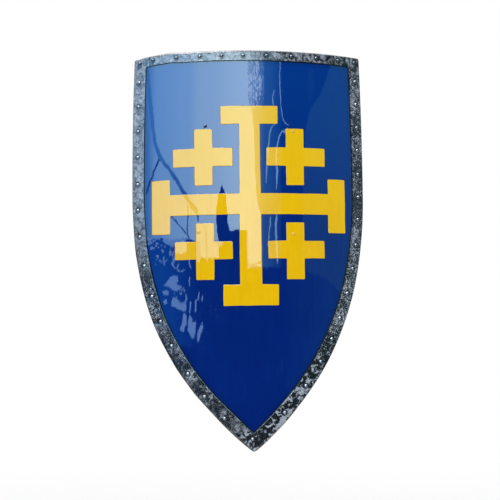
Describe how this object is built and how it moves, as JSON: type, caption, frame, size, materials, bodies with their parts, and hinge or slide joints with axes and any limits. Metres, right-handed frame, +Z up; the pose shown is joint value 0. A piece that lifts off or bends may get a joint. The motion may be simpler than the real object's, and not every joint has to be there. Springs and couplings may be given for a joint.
{
  "type": "heater shield",
  "caption": "Rolled steel heater shield, enamelled blue with a yellow cross potent and crosslets, in a riveted steel rim, with two leather arm straps behind.",
  "frame": {"origin": "on the line of the bearer's forearm, in the shield's middle plane, 233 mm below the top edge and 48 mm behind the front of the face", "axes": "+Z up towards the top edge, painted face towards -Y, +X to the right of someone who looks at the face"},
  "size_m": [0.4245, 0.1076, 0.711],
  "materials": {
    "face_enamel": "gloss blue enamel on steel",
    "cross_enamel": "gloss yellow enamel",
    "rim_steel": "mottled antique steel",
    "rivet_steel": "worn bright steel",
    "painted_rivet": "steel, painted over with the face",
    "washer_steel": "plain steel",
    "strap_leather": "dark brown harness leather",
    "grip_leather": "stitched dark leather",
    "buckle_steel": "nickelled steel"
  },
  "bodies": {
    "shield": {"face_panel": "face_enamel", "cross_potent_paint": "cross_enamel", "crosslets_paint": "cross_enamel", "rim_band_top": "rim_steel", "rim_band_left": "rim_steel", "rim_band_right": "rim_steel", "rim_rivets_top": "rivet_steel", "rim_rivets_left": "rivet_steel", "rim_rivets_right": "rivet_steel", "rim_rivet_point": "rivet_steel", "forearm_strap_rivets": "painted_rivet", "forearm_strap_washers": "washer_steel", "hand_strap_rivets": "painted_rivet", "hand_strap_washers": "washer_steel", "forearm_chape": "strap_leather", "forearm_billet": "strap_leather", "buckle_frame": "buckle_steel", "hand_strap": "strap_leather", "hand_grip_sleeve": "grip_leather"},
    "prong": {"buckle_prong": "buckle_steel"},
    "roller": {"buckle_roller": "buckle_steel"},
    "keeper": {"strap_keeper": "strap_leather"}
  },
  "joints": [
    {"name": "prong_lift", "type": "hinge", "parent": "shield", "child": "prong", "pos_m": [0.0677, 0.0033, 0.05104], "axis": [0.9779, 0.209, 0], "range_deg": [0, 10]},
    {"name": "roller_spin", "type": "hinge", "parent": "shield", "child": "roller", "pos_m": [0.06293, 0.02563, 0.04087], "axis": [0.9779, 0.209, 0], "continuous": true},
    {"name": "keeper_slide", "type": "slide", "parent": "shield", "child": "keeper", "axis": [0.191, -0.8934, 0.4067], "range_m": [-0.002, 0.008]}
  ]
}
